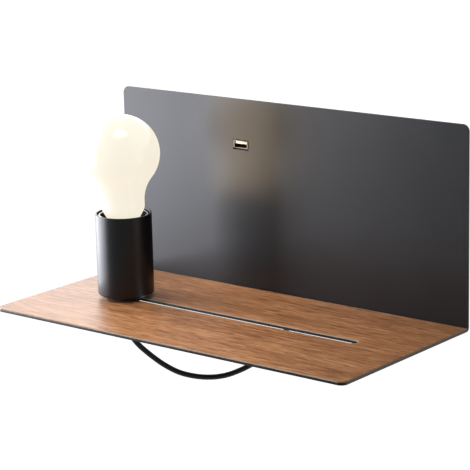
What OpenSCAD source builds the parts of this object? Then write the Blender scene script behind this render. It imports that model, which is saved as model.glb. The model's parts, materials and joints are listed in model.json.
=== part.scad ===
// Wall lamp with a folded shelf, a lampholder that slides along a slot, and a USB charging socket.
// Millimetres. The origin is on the wall, at the centre of the bracket's four slotted holes.
// +Z is up, +X is to the right as seen from the room, and -Y points into the room.

/* [Folded sheet] */
// Width of the folded steel sheet
sheet_w = 330; // [300:1:420]
// Depth of the shelf, from the back of the plate to the front edge
shelf_d = 157; // [140:1:220]
// Height of the sheet, from the underside of the shelf to the top edge of the plate
plate_h = 153.5; // [138:0.5:220]
// Thickness of the steel
sheet_t = 2; // [1:0.1:2.5]
// Inner radius of the fold
fold_r = 1; // [0.5:0.1:3]
// Radius of the plate's two top corners
plate_corner_r = 5.5; // [3:0.5:30]
// Radius of the shelf's two front corners
shelf_corner_r = 5.5; // [3:0.5:30]
// Thickness of the oak veneer
veneer_t = 1; // [0.4:0.1:2]

/* [Slot] */
// Distance from each end of the slot to the sheet's end
slot_margin = 45.5; // [30:0.5:100]
// Distance from the back of the plate to the middle of the slot
slot_back = 76.5; // [60:0.5:95]
// Place of the lampholder, from the slot's left end
holder_in = 17.5; // [14:0.5:100]

/* [Lampholder] */
// Outer diameter of the cup
cup_d = 44; // [43.5:0.5:60]
// Height of the cup
cup_h = 64; // [50:1:75]
// Wall of the cup
cup_wall = 1.5; // [1:0.1:2.4]
// Thickness of the cup's base
cup_base_t = 2; // [1.5:0.1:3]
// Diameter of the pad that the cup glides on
pad_d = 30; // [18:1:40]
// Height of the cup above the shelf
cup_lift = 3.2; // [2.5:0.1:6]
// Wall of the hollow stem
stem_wall = 1.3; // [1:0.1:2]
// Outer diameter of the flex
flex_d = 4.4; // [4:0.1:6]
// Diameter of the thumb nut under the shelf
thumb_d = 20; // [18:1:30]
// Height of the thumb nut
thumb_h = 6; // [5:0.5:9]
// Thickness of the washer that the thumb nut presses up
washer_t = 1.2; // [0.8:0.1:2]
// Travel of the thumb nut as it is loosened
thumb_travel = 2; // [1:0.5:3]

/* [Bulb] */
// Diameter of the bulb
bulb_d = 60; // [50:1:66]
// Length of the bulb with its cap
bulb_l = 106.5; // [102:0.5:120]
// Diameter of the bulb's neck
neck_d = 33.6; // [30:0.2:34]
// Length of the neck's straight part, above the taper to the cap
neck_l = 4.5; // [2:0.5:6]
// Thickness of the glass
glass_t = 1; // [0.6:0.1:1.5]

/* [Rear tray and wall bracket] */
// Width of the tray behind the plate
tray_w = 240; // [220:1:290]
// Depth of the tray, which is the distance from the wall to the plate
tray_d = 24; // [24:1:40]
// Thickness of the tray
tray_t = 1.2; // [0.8:0.1:1.5]
// Depth of the tray's flanges against the plate
flange_d = 12; // [10:0.5:18]
// Height of the wall bracket
bracket_h = 90; // [76:1:104]
// Thickness of the wall bracket
bracket_t = 1.5; // [1:0.1:2]
// Height of the bracket's centre above the underside of the shelf
bracket_z = 64; // [56:1:76]
// Distance between the wall holes across
wall_hole_dx = 160; // [120:1:190]
// Distance between the wall holes up and down
wall_hole_dz = 60; // [40:1:66]
// Length of a slotted wall hole
wall_slot_l = 12; // [8:1:20]
// Width of a slotted wall hole
wall_slot_w = 5; // [4:0.5:7]
// Diameter of the hole that the house wiring comes through
entry_d = 25; // [15:1:36]

/* [USB socket] */
// Place of the socket across, from the middle of the plate
usb_x = -43.5; // [-80:0.5:-36]
// Height of the socket above the underside of the shelf
usb_up = 117.5; // [108:0.5:130]

/* [Hidden] */
$fn = 64;

// Clearances
slip = 0.3;      // between pieces that slide past each other
thread_gap = 0.05; // between a thread's bore and its screw, on the radius
eps = 0.01;      // overrun of a cut past a face

// The sheet
fold_out = fold_r + sheet_t;
plate_back = -tray_d;
plate_front = plate_back - sheet_t;
sheet_low = -bracket_z;
sheet_high = sheet_low + sheet_t;
shelf_top = sheet_high + veneer_t;
slot_y = plate_back - slot_back;
slot_l = sheet_w - 2 * slot_margin;
holder_x = -slot_l / 2 + holder_in;

// Metric fasteners
m4_d = 4;
m4_clear = 4.5;
m4_flats = 7;
m4_nut_h = 3.2;
m4_stud_l = 7;
m3_d = 3;
m3_clear = 3.4;
m3_flats = 5.5;
m3_nut_h = 2.4;
m3_stud_l = 7;
hex_k = 2 / sqrt(3); // corner to corner of a hexagon, over its flats

// A standard USB-A receptacle
usb_w = 12.5;
usb_h = 5.12;
usb_skin = 0.3;
usb_deep = 14;
lip_w = 13.9;
lip_h = 6;
lip_t = 0.7;
lip_proud = 0.3;
port_side = 0.5; // room round the lip in the plate's opening, at each side
port_high = 0.4;
port_low = 1.3;
tongue_w = 11.1;
tongue_t = 1.9;
tongue_recess = 0.8;
tongue_gap = 0.25;
tongue_z = usb_h / 2 - tongue_gap - tongue_t;
pin_w = 1;
pin_t = 0.2;
pin_l = 7;
pin_xs = [-3.5, -1, 1, 3.5];
usb_z = sheet_low + usb_up;
usb_front = plate_front - lip_proud;
usb_low = usb_z - usb_h / 2 - usb_skin;
board_w = 34;
board_t = 1.6;
carrier_w = 60;
carrier_t = 2;
carrier_low = usb_low - board_t - 4;
carrier_high = usb_z + lip_h / 2 + 2.1;
carrier_stud_dx = 25;
rail_w = 4;
rail_grip = 1.2;
rail_l = 13;
board_y0 = plate_back + carrier_t;
board_l = 17;

// The tray behind the plate
flange_low = sheet_low + fold_out + 0.5;
flange_high = carrier_high + 0.9;
tray_top = flange_high + flange_d;
tray_h = tray_top - sheet_low;
stud_x = 90;
stud_high = flange_high + (flange_d - tray_t) / 2;
stud_low = flange_low + flange_d / 2;
bracket_w = tray_w - 2 * tray_t - 2 * slip;
ear_d = 15;
ear_h = 30;
ear_y = -9;

// The driver that feeds the socket
driver_x0 = 12;
driver_w = 64;
driver_h = 30;
driver_z0 = flange_high - 8 - driver_h;
pad_t = 1;
driver_wall = 1.2;
driver_room = 5; // between the driver's lid and the wall
driver_d = tray_d - pad_t - driver_wall - driver_room;
driver_y = plate_back + pad_t;
transformer_x = 16;
transformer_z = 7;
transformer_w = 16;
transformer_h = 15;
capacitor_x = 44;
capacitor_d = 9;
tall_part_d = 9; // how far the tallest parts stand off the driver's board
live_entry = 12; // heights of the leads above the driver's lower edge
neutral_entry = 7;
usb_lead_drop = 6; // below the driver's upper edge

// The flex, its grommet and its saddle
core_d = 1.8;
lead_d = 1.9;
grommet_x = 0;
grommet_y = -14;
grommet_wall = 2.3;
grommet_hole_d = flex_d + 2 * grommet_wall;
grommet_flange_d = grommet_hole_d + 5;
grommet_drop = 3;
saddle_z = flange_low + flange_d + 1;
saddle_h = 9;
saddle_wall = 3.8;
saddle_w = flex_d + 2 * saddle_wall;
saddle_ear_t = 3;
saddle_ear_l = 8;
saddle_stud_dx = (saddle_w + saddle_ear_l) / 2;
tray_flex_top = saddle_z + saddle_h + 5;

// The terminal block
block_w = 30;
block_h = 16;
block_d = 13;
block_z0 = tray_flex_top + 12;
block_top = block_z0 + block_h;
pole_pitch = 9;
pole_d = 3;
pole_y = plate_back + 7;
block_stud_dx = -pole_pitch / 2;
pole_screw_up = [0.25 * block_h, 0.75 * block_h];
earth_x = 36;
earth_z = block_top + 4;
lug_t = 1;
lug_r = 4;
lug_l = 10;

// The lampholder, upwards from the shelf's top
stem_bore = flex_d + 0.8;
stem_d = stem_bore + 2 * stem_wall;
stem_r = stem_d / 2;
slot_w = stem_d + 2 * slip;
cup_r = cup_d / 2;
cup_top = cup_lift + cup_h;
collar_rim = 2.6;
collar_d = stem_d + 2 * collar_rim;
collar_t = 1.4;
washer_d = collar_d + 3;
stem_washer_t = 0.6;
stem_nut_h = 4;
stem_nut_flats = collar_d;
cap_low = cup_lift + cup_base_t + stem_washer_t + stem_nut_h + 0.4;
cap_r = 17.5;
cap_wall = 1.6;
cap_h = 17;
hub_r = stem_r + 3.1;
hub_h = 8;
stem_top = cap_low + hub_h - 2;
core_low = cap_low + hub_h;
core_h = 13;
core_top = core_low + core_h;
core_r = cap_r - cap_wall - slip;
pocket_r = 5;
pocket_h = 5;
tail_z = core_low + pocket_h - 2; // lower end of both contacts
lead_z = stem_top - 1; // upper end of the sheath inside the stem
skirt_low = cap_low + cap_h;
skirt_r = 19.2;
skirt_wall = 1.6;
skirt_top = cup_top - 1;
rim_wall = 1;
contact_w = 5;
contact_t = 0.6;
contact_x = 3;

// The lampholder, downwards from the shelf's top
under = -(veneer_t + sheet_t);
washer_top = under - slip;
thumb_top = washer_top - washer_t;
grip_top = thumb_top - thumb_h - thumb_travel - slip;
grip_h = 5.2;
grip_d = stem_d + 3.2;
stem_low = grip_top - 2.7;
exit_z = grip_top - grip_h;
grip_screw_z = exit_z + 1.3;

// The E27 cap and its shell
e27_r = 13;
e27_depth = 0.6;
e27_pitch = 3.6;
e27_cap_h = 20;
e27_skin = 0.5;
shell_r = e27_r + 0.35;
shell_skin = 0.4;
shell_low = core_top;
shell_h = 30;
shell_ring_r = 10;
tip_z = core_top + 6.5;
tip_h = 2;
tip_r = 4.6;
insulator_h = 4.4;
cap_z0 = tip_z + tip_h + insulator_h;
cap_z1 = cap_z0 + e27_cap_h;
bulb_r = bulb_d / 2;
bulb_top = tip_z + bulb_l;
ball_z = bulb_top - bulb_r;
neck_r = neck_d / 2;
taper_h = 8;
blend_drop = ball_z - (cap_z1 + taper_h + neck_l);
blend_r = max(6, (pow(blend_drop, 2) - pow(bulb_r, 2) + pow(neck_r, 2)) / (2 * (bulb_r - neck_r)));
blend_z = ball_z - sqrt(pow(bulb_r + blend_r, 2) - pow(neck_r + blend_r, 2));
blend_share = bulb_r / (bulb_r + blend_r);
blend_top_z = ball_z + (blend_z - ball_z) * blend_share;
blend_top_r = (neck_r + blend_r) * blend_share;

// Inside the bulb
mount_r = 4;
mount_top = ball_z - 22;
mount_foot = 9;       // height of the flare at the mount's foot
mount_neck = 8;       // length of the mount's thinner end
mount_taper = 4;
filament_ring_r = 7;
filament_d = 1.8;
filament_l = 36;
filament_z0 = mount_top + 4;
filament_count = 4;
mount_tip_r = 1.5;
wire_d = 0.7;

// The free flex hangs from the cord grip under the slot to the grommet under the tray.
flex_route = [
    [-102, -100.5, -79],
    [-102, -100.5, -84],
    [-101, -100, -89.5],
    [-99, -98, -95.3],
    [-95.7, -95.1, -101.2],
    [-91.3, -91.4, -106.9],
    [-86, -87, -112.9],
    [-79.9, -81.7, -119],
    [-71.9, -75, -124.8],
    [-62.7, -67.2, -128.3],
    [-53.2, -59.1, -129.6],
    [-44, -51.3, -128.4],
    [-35.3, -43.9, -124.6],
    [-27.6, -37.4, -119.6],
    [-20.8, -31.6, -113.5],
    [-14.7, -26.4, -106],
    [-9.3, -21.9, -97.5],
    [-4.8, -18, -87.5],
    [-1.7, -15.5, -79.5],
    [-0.3, -14.3, -73.5],
    [0, -14, -70],
    [0, -14, -67]];

// The route's two ends stay in the cord grip and in the grommet when another size moves these.
grip_shift = [holder_x, slot_y, shelf_top + exit_z] - flex_route[0];
grommet_shift = [grommet_x, grommet_y, sheet_low - grommet_drop] - flex_route[len(flex_route) - 1];

// ---- Shapes that repeat ----

// A rectangle that stands on the X axis, with its two far corners rounded.
module far_rounded(w, h, r) {
    translate([-w / 2, 0]) square([w, h - r]);
    translate([-w / 2 + r, 0]) square([w - 2 * r, h]);
    for (side = [-1, 1]) translate([side * (w / 2 - r), h - r]) circle(r);
}

// A slot with round ends, centred.
module round_slot(l, w) {
    square([l - w, w], center = true);
    for (side = [-1, 1]) translate([side * (l - w) / 2, 0]) circle(w / 2);
}

// A ring or tube that stands on its base.
module tube(r_out, r_in, h) {
    difference() {
        cylinder(r = r_out, h = h);
        translate([0, 0, -1]) cylinder(r = r_in, h = h + 2);
    }
}

// A hexagon nut that stands on its base.
module hex_nut(flats, bore_d, h) {
    difference() {
        cylinder(d = flats * hex_k, h = h, $fn = 6);
        translate([0, 0, -1]) cylinder(d = bore_d, h = h + 2);
    }
}

// Turns what stands on Z so that it points to the wall, along +Y, from the back of the plate.
module on_plate(x, z, y = plate_back) {
    translate([x, y, z]) rotate([-90, 0, 0]) children();
}

// Puts a part of the lampholder on its axis, on the shelf's top.
module at_holder() {
    translate([holder_x, slot_y, shelf_top]) children();
}

// ---- Swept tubes ----

function unit(v) = v / norm(v);
function heading(p, i) =
    i == 0 ? unit(p[1] - p[0])
    : i == len(p) - 1 ? unit(p[i] - p[i - 1])
    : unit(unit(p[i + 1] - p[i]) + unit(p[i] - p[i - 1]));
function square_to(n, t) = unit(n - (n * t) * t);
function side_normals(p, first) =
    [for (i = 0, n = square_to(first, heading(p, 0));
          i < len(p);
          i = i + 1, n = i < len(p) ? square_to(n, heading(p, i)) : n) n];
function ring(c, n, b, r, sides) =
    [for (k = [0 : sides - 1]) c + r * (cos(360 * k / sides) * n + sin(360 * k / sides) * b)];

// A round tube along a list of points, as one closed mesh.
module swept(p, d, sides = 8, first = [1, 0.2, 0.1]) {
    normals = side_normals(p, first);
    rings = [for (i = [0 : len(p) - 1])
        ring(p[i], normals[i], cross(heading(p, i), normals[i]), d / 2, sides)];
    points = [for (r = rings) each r];
    last = (len(p) - 1) * sides;
    walls = [for (i = [0 : len(p) - 2], k = [0 : sides - 1])
        let (a = i * sides + k, b = i * sides + (k + 1) % sides)
        each [[a, b + sides, b], [a, a + sides, b + sides]]];
    start_cap = [for (k = [1 : sides - 2]) [0, k, k + 1]];
    end_cap = [for (k = [1 : sides - 2]) [last, last + k + 1, last + k]];
    polyhedron(points = points, faces = concat(walls, start_cap, end_cap));
}

// ---- The folded sheet and its veneer ----

module shelf_outline(d) {
    mirror([0, 1]) far_rounded(sheet_w, d, shelf_corner_r);
}

module slot_cut() {
    translate([0, slot_y, sheet_low - 1])
        linear_extrude(sheet_t + veneer_t + 2) round_slot(slot_l, slot_w);
}

module fold() {
    translate([-sheet_w / 2, plate_back - fold_out, sheet_low + fold_out])
        rotate([90, 0, 90]) linear_extrude(sheet_w) intersection() {
            difference() {
                circle(fold_out);
                circle(fold_r);
            }
            translate([0, -fold_out]) square(fold_out);
        }
}

module shelf_frame() {
    color("#2a2b2d") difference() {
        union() {
            translate([0, plate_back, sheet_low + fold_out]) rotate([90, 0, 0])
                linear_extrude(sheet_t) far_rounded(sheet_w, plate_h - fold_out, plate_corner_r);
            translate([0, plate_back - fold_out, sheet_low])
                linear_extrude(sheet_t) shelf_outline(shelf_d - fold_out);
            fold();
        }
        slot_cut();
        translate([usb_x - lip_w / 2 - port_side, plate_front - 1, usb_z - lip_h / 2 - port_low])
            cube([lip_w + 2 * port_side, sheet_t + 2, lip_h + port_low + port_high]);
    }
}

module shelf_veneer() {
    rear_gap = fold_out + 0.2;
    color("#a5754f") difference() {
        translate([0, plate_back - rear_gap, sheet_high])
            linear_extrude(veneer_t) shelf_outline(shelf_d - rear_gap);
        slot_cut();
    }
}

// ---- The tray, the wall bracket and their fasteners ----

module stud_spots() {
    for (x = [-stud_x, stud_x], z = [stud_low, stud_high]) on_plate(x, z) children();
}

module rear_tray() {
    inner_w = tray_w - 2 * tray_t;
    inner_h = tray_h - 2 * tray_t;
    color("#303133") difference() {
        union() {
            difference() {
                translate([-tray_w / 2, plate_back, sheet_low]) cube([tray_w, tray_d, tray_h]);
                translate([-inner_w / 2, plate_back - 1, sheet_low + tray_t])
                    cube([inner_w, tray_d + 2, inner_h]);
            }
            translate([-inner_w / 2, plate_back, flange_low]) cube([inner_w, tray_t, flange_d]);
            translate([-inner_w / 2, plate_back, tray_top - flange_d])
                cube([inner_w, tray_t, flange_d]);
        }
        stud_spots() translate([0, 0, -1]) cylinder(d = m4_clear, h = tray_t + 2);
        translate([grommet_x, grommet_y, sheet_low - 1]) cylinder(d = grommet_hole_d, h = tray_t + 2);
        translate([-tray_w, ear_y, 0]) rotate([0, 90, 0]) cylinder(d = m4_clear, h = 2 * tray_w);
    }
}

module wall_bracket() {
    color("#b9bcc0") difference() {
        union() {
            translate([-bracket_w / 2, -bracket_t, -bracket_h / 2])
                cube([bracket_w, bracket_t, bracket_h]);
            for (side = [-1, 1])
                translate([side * (bracket_w - bracket_t) / 2, -ear_d / 2, 0])
                    cube([bracket_t, ear_d, ear_h], center = true);
        }
        for (x = [-1, 1], z = [-1, 1])
            translate([x * wall_hole_dx / 2, 1, z * wall_hole_dz / 2]) rotate([90, 0, 0])
                linear_extrude(bracket_t + 2) round_slot(wall_slot_l, wall_slot_w);
        translate([0, 1, 0]) rotate([90, 0, 0]) cylinder(d = entry_d, h = bracket_t + 2);
        translate([-bracket_w, ear_y, 0]) rotate([0, 90, 0]) cylinder(d = m4_clear, h = 2 * bracket_w);
    }
}

// Places a part on the side screw of each ear, with +Z pointing outwards from the tray.
module side_spots() {
    for (side = [-1, 1]) translate([side * tray_w / 2, ear_y, 0])
        rotate([0, side * 90, 0]) children();
}

module ear_nuts() {
    depth = tray_t + slip + bracket_t;
    color("#c9ccd0") side_spots() translate([0, 0, -depth - m4_nut_h]) difference() {
        translate([-m4_flats / 2, -m4_flats / 2, 0]) cube([m4_flats, m4_flats, m4_nut_h]);
        translate([0, 0, -1]) cylinder(r = m4_d / 2 + thread_gap, h = m4_nut_h + 2);
    }
}

module side_screws() {
    shank = tray_t + slip + bracket_t + m4_nut_h + 1.5;
    color("#26272a") side_spots() difference() {
        union() {
            translate([0, 0, -shank]) cylinder(d = m4_d, h = shank + 0.5);
            cylinder(d = 8, h = 2.4);
        }
        for (turn = [0, 90]) rotate(turn) translate([-2, -0.4, 1]) cube([4, 0.8, 2]);
    }
}

module m4_studs() {
    color("#b08d57") {
        stud_spots() cylinder(d = m4_d, h = m4_stud_l);
        on_plate(earth_x, earth_z) cylinder(d = m4_d, h = m4_stud_l);
    }
}

module m4_nuts() {
    bore = m4_d + 2 * thread_gap;
    color("#c9ccd0") {
        stud_spots() translate([0, 0, tray_t]) hex_nut(m4_flats, bore, m4_nut_h);
        on_plate(earth_x, earth_z, plate_back + lug_t) hex_nut(m4_flats, bore, m4_nut_h);
    }
}

module m3_spots(carrier_seat, block_seat, saddle_seat) {
    for (side = [-1, 1]) {
        on_plate(usb_x + side * carrier_stud_dx, usb_z, plate_back + carrier_seat) children();
        on_plate(grommet_x + side * saddle_stud_dx, saddle_z + saddle_h / 2, plate_back + saddle_seat)
            children();
    }
    on_plate(block_stud_dx, block_z0 + block_h / 2, plate_back + block_seat) children();
}

module m3_studs() {
    color("#b08d57") m3_spots(0, 0, 0) cylinder(d = m3_d, h = m3_stud_l);
}

module m3_nuts() {
    color("#c9ccd0") m3_spots(carrier_t, saddle_ear_t, saddle_ear_t)
        hex_nut(m3_flats, m3_d + 2 * thread_gap, m3_nut_h);
}

// ---- The USB socket and its driver ----

module at_usb() {
    translate([usb_x, usb_front, usb_z]) children();
}

// A block from y0 to y1 behind the socket's front face, centred on the socket.
module usb_block(w, h, y0, y1) {
    translate([-w / 2, y0, -h / 2]) cube([w, y1 - y0, h]);
}

module usb_shell() {
    color("#c8cacc") at_usb() difference() {
        union() {
            usb_block(usb_w + 2 * usb_skin, usb_h + 2 * usb_skin, 0, usb_deep);
            usb_block(lip_w, lip_h, 0, lip_t);
        }
        usb_block(usb_w, usb_h, -1, usb_deep - usb_skin);
    }
}

module usb_tongue() {
    base_t = 3;
    color("#e9e9e6") at_usb() {
        translate([-tongue_w / 2, tongue_recess, tongue_z])
            cube([tongue_w, usb_deep - usb_skin - tongue_recess, tongue_t]);
        usb_block(usb_w - 0.1, usb_h - 0.1, usb_deep - usb_skin - base_t, usb_deep - usb_skin);
    }
}

module usb_contacts() {
    color("#caa24a") at_usb() for (x = pin_xs)
        translate([x - pin_w / 2, tongue_recess + 0.6, tongue_z - pin_t]) cube([pin_w, pin_l, pin_t]);
}

module usb_board() {
    color("#1f5a37") translate([usb_x - board_w / 2, board_y0, usb_low - board_t])
        cube([board_w, board_l, board_t]);
}

module usb_carrier() {
    opening_w = usb_w + 2 * usb_skin + 0.3;
    opening_h = usb_h + 2 * usb_skin + 0.3;
    rail_x = board_w / 2 - rail_grip;
    groove_t = board_t + 0.1;
    color("#1d1e20") translate([usb_x, plate_back, 0]) difference() {
        union() {
            translate([-carrier_w / 2, 0, carrier_low])
                cube([carrier_w, carrier_t, carrier_high - carrier_low]);
            for (side = [-1, 1]) translate([side * (rail_x + rail_w / 2) - rail_w / 2, 0, carrier_low])
                cube([rail_w, rail_l, board_t + 6]);
        }
        translate([-opening_w / 2, -1, usb_z - opening_h / 2]) cube([opening_w, carrier_t + 2, opening_h]);
        translate([-board_w / 2, carrier_t, usb_low - board_t - 0.05]) cube([board_w, rail_l, groove_t]);
        for (side = [-1, 1]) translate([side * carrier_stud_dx, -1, usb_z]) rotate([-90, 0, 0])
            cylinder(d = m3_clear, h = carrier_t + 2);
    }
}

module driver_pad() {
    color("#8f9296") translate([driver_x0 + 4, plate_back, driver_z0 + 3])
        cube([driver_w - 8, pad_t, driver_h - 6]);
}

module driver_case() {
    color("#e4e4e0") difference() {
        translate([driver_x0, driver_y, driver_z0]) cube([driver_w, driver_d, driver_h]);
        translate([driver_x0 + driver_wall, driver_y + driver_wall, driver_z0 + driver_wall])
            cube([driver_w - 2 * driver_wall, driver_d, driver_h - 2 * driver_wall]);
    }
}

module driver_lid() {
    lid_y = driver_y + driver_d;
    lip = driver_wall + 0.2;
    color("#d8d8d4") {
        translate([driver_x0, lid_y, driver_z0]) cube([driver_w, driver_wall, driver_h]);
        translate([driver_x0 + lip, lid_y - 1.5, driver_z0 + lip])
            cube([driver_w - 2 * lip, 1.5 + eps, driver_h - 2 * lip]);
    }
}

module driver_board() {
    rest = driver_wall + 0.2;
    board_face = driver_y + driver_wall + board_t - eps;
    color("#1f5a37") {
        translate([driver_x0 + rest, driver_y + driver_wall, driver_z0 + rest])
            cube([driver_w - 2 * rest, board_t, driver_h - 2 * rest]);
        translate([driver_x0 + transformer_x, board_face, driver_z0 + transformer_z])
            cube([transformer_w, tall_part_d, transformer_h]);
        translate([driver_x0 + capacitor_x, board_face, driver_z0 + driver_h / 2])
            rotate([-90, 0, 0]) cylinder(d = capacitor_d, h = tall_part_d);
    }
}

// ---- Terminals, leads and the flex inside the tray ----

function pole_x(i) = (i - 1) * pole_pitch;

module terminal_block() {
    color("#ece9df") difference() {
        translate([-block_w / 2, plate_back, block_z0]) cube([block_w, block_d, block_h]);
        for (i = [0 : 2]) {
            translate([pole_x(i), pole_y, block_z0 - 1]) cylinder(d = pole_d, h = block_h + 2);
            for (up = pole_screw_up) on_plate(pole_x(i), block_z0 + up, pole_y)
                cylinder(d = pole_d, h = block_d);
        }
        on_plate(block_stud_dx, block_z0 + block_h / 2, plate_back - 1)
            cylinder(d = m3_clear, h = block_d + 2);
        on_plate(block_stud_dx, block_z0 + block_h / 2, plate_back + saddle_ear_t)
            cylinder(d = m3_flats * hex_k + 0.4, h = block_d);
    }
}

module terminal_screws() {
    screw_y = pole_y + pole_d / 2 + 0.1;
    screw_l = plate_back + block_d - screw_y - 0.5;
    color("#c0a060") for (i = [0 : 2], up = pole_screw_up)
        on_plate(pole_x(i), block_z0 + up, screw_y) difference() {
            cylinder(d = pole_d - 2 * thread_gap, h = screw_l);
            translate([-2, -0.3, screw_l - 0.8]) cube([4, 0.6, 1]);
        }
}

module earth_lug() {
    color("#c9ccd0") on_plate(earth_x, earth_z) difference() {
        union() {
            cylinder(r = lug_r, h = lug_t);
            translate([-lug_l, -lug_r / 2, 0]) cube([lug_l - lug_r / 2, lug_r, lug_t]);
        }
        translate([0, 0, -1]) cylinder(d = m4_d + 0.2, h = lug_t + 2);
    }
}

module cable_grommet() {
    color("#17181a") translate([grommet_x, grommet_y, sheet_low]) difference() {
        union() {
            translate([0, 0, -grommet_drop]) cylinder(r1 = flex_d / 2 + 1.3, r2 = flex_d / 2 + 2,
                h = grommet_drop - 1);
            translate([0, 0, -1]) cylinder(d = grommet_flange_d, h = 1);
            translate([0, 0, -eps]) cylinder(d = grommet_hole_d - 0.1, h = tray_t + 2 * eps);
            translate([0, 0, tray_t]) cylinder(d = grommet_flange_d - 2, h = 1);
        }
        translate([0, 0, -grommet_drop - eps]) cylinder(d = flex_d + 0.1, h = grommet_drop + tray_t + 2);
    }
}

module tray_flex() {
    color("#17181a") translate([grommet_x, grommet_y, sheet_low - grommet_drop])
        cylinder(d = flex_d, h = tray_flex_top - sheet_low + grommet_drop);
}

module flex_saddle() {
    ear_l = saddle_w + 2 * saddle_ear_l;
    color("#1d1e20") difference() {
        union() {
            translate([grommet_x - saddle_w / 2, plate_back, saddle_z])
                cube([saddle_w, grommet_y - plate_back + flex_d / 2 + 2, saddle_h]);
            translate([grommet_x - ear_l / 2, plate_back, saddle_z]) cube([ear_l, saddle_ear_t, saddle_h]);
        }
        translate([grommet_x, grommet_y, saddle_z - 1]) cylinder(d = flex_d + 0.1, h = saddle_h + 2);
        for (side = [-1, 1])
            on_plate(grommet_x + side * saddle_stud_dx, saddle_z + saddle_h / 2, plate_back - 1)
                cylinder(d = m3_clear, h = saddle_ear_t + 2);
    }
}

// One core of the flex, from the end of its sheath up into a pole of the terminal block.
module core_to_pole(side, pole) {
    x0 = grommet_x + side * core_d * 0.55;
    x1 = pole_x(pole);
    z1 = block_z0 + 1;
    rise = z1 - tray_flex_top;
    swept([[x0, grommet_y, tray_flex_top],
        [x0, grommet_y, tray_flex_top + 0.15 * rise],
        [x0 + 0.3 * (x1 - x0), grommet_y + 0.3 * (pole_y - grommet_y), tray_flex_top + 0.35 * rise],
        [x0 + 0.8 * (x1 - x0), grommet_y + 0.8 * (pole_y - grommet_y), tray_flex_top + 0.6 * rise],
        [x1, pole_y, tray_flex_top + 0.8 * rise],
        [x1, pole_y, z1]], core_d);
}

module live_lead() {
    color("#6b3d22") core_to_pole(-1, 0);
}

module neutral_lead() {
    color("#2b5fb0") core_to_pole(1, 1);
}

module earth_lead() {
    x0 = pole_x(2);
    x1 = earth_x - lug_l;
    y1 = plate_back + lug_t;
    color("#7fae2e") swept([[x0, pole_y, block_top - 1],
        [x0, pole_y, block_top + 2],
        [x0 + 4, pole_y - 1.5, earth_z],
        [x1 - 10, y1 + 1, earth_z],
        [x1 - 4, y1, earth_z],
        [x1, y1, earth_z]], 1);
}

// A lead from a pole of the terminal block to the driver's end wall.
module pole_to_driver(pole, z1) {
    x0 = pole_x(pole);
    y1 = plate_back + driver_d / 2 + pole;
    swept([[x0, pole_y, block_top - 1],
        [x0, pole_y, block_top + 8],
        [x0 + 1, pole_y + 1, z1 - 9],
        [x0 + 3, y1 - 0.5, z1 - 3],
        [driver_x0 - 4, y1, z1],
        [driver_x0, y1, z1]], lead_d);
}

module driver_leads() {
    color("#3d4f7a") {
        pole_to_driver(0, driver_z0 + live_entry);
        pole_to_driver(1, driver_z0 + neutral_entry);
    }
}

// Two leads from the driver to the board's edge, just behind the carrier's rail.
module usb_leads() {
    x1 = usb_x + board_w / 2;
    z1 = usb_low - board_t / 2;
    z0 = driver_z0 + driver_h - usb_lead_drop;
    color("#8b2f2a") for (k = [0, 1]) {
        y = plate_back + rail_l + 1.2 + 2.4 * k;
        swept([[driver_x0, y, z0],
            [driver_x0 - 4, y, z0],
            [driver_x0 - 14, y, z0 + 0.3 * (z1 - z0)],
            [x1 + 14, y, z0 + 0.8 * (z1 - z0)],
            [x1 + 7, y, z1],
            [x1, y, z1]], 1.4);
    }
}

module flex() {
    last = len(flex_route) - 1;
    color("#17181a") swept([for (i = [0 : last])
        flex_route[i] + grip_shift * (1 - i / last) + grommet_shift * i / last], flex_d, 10);
}

// ---- The sliding lampholder ----

module cup() {
    color("#1c1d1f") at_holder() translate([0, 0, cup_lift]) difference() {
        cylinder(r = cup_r, h = cup_h, $fn = 128);
        translate([0, 0, cup_base_t]) cylinder(r = cup_r - cup_wall, h = cup_h, $fn = 128);
        translate([0, 0, -1]) cylinder(r = stem_r + 0.2, h = cup_base_t + 2);
    }
}

module glide_pad() {
    color("#34363a") at_holder() difference() {
        translate([0, 0, slip]) cylinder(d = pad_d, h = cup_lift - slip);
        cylinder(r = stem_r + 0.2, h = cup_lift + 1);
        translate([0, 0, cup_lift - collar_t]) cylinder(d = collar_d + 0.4, h = collar_t + 1);
    }
}

module stem() {
    color("#b9bcc0") at_holder() difference() {
        union() {
            translate([0, 0, stem_low]) cylinder(r = stem_r, h = stem_top - stem_low);
            translate([0, 0, cup_lift - collar_t]) cylinder(d = collar_d, h = collar_t);
        }
        translate([0, 0, stem_low - 1]) cylinder(d = stem_bore, h = stem_top - stem_low + 2);
    }
}

module stem_washer() {
    color("#c9ccd0") at_holder() translate([0, 0, cup_lift + cup_base_t])
        tube(washer_d / 2, stem_r + 0.2, stem_washer_t);
}

module stem_nut() {
    color("#c9ccd0") at_holder() translate([0, 0, cup_lift + cup_base_t + stem_washer_t])
        hex_nut(stem_nut_flats, stem_d + 2 * thread_gap, stem_nut_h);
}

module holder_cap() {
    floor_t = 2.5;
    color("#222326") at_holder() translate([0, 0, cap_low]) difference() {
        union() {
            tube(cap_r, cap_r - cap_wall, cap_h);
            cylinder(r = cap_r - cap_wall + eps, h = floor_t);
            cylinder(r = hub_r, h = hub_h);
        }
        translate([0, 0, -1]) cylinder(r = stem_r + thread_gap, h = hub_h + 2);
    }
}

module holder_core() {
    slit_w = contact_w + 0.2;
    color("#dedad0") at_holder() difference() {
        translate([0, 0, core_low]) cylinder(r = core_r, h = core_top - core_low);
        translate([0, 0, core_low - 1]) cylinder(r = pocket_r, h = pocket_h + 1);
        for (side = [-1, 1])
            translate([side * contact_x - contact_t / 2 - 0.1, -slit_w / 2, core_low])
                cube([contact_t + 0.2, slit_w, core_top]);
    }
}

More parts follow.
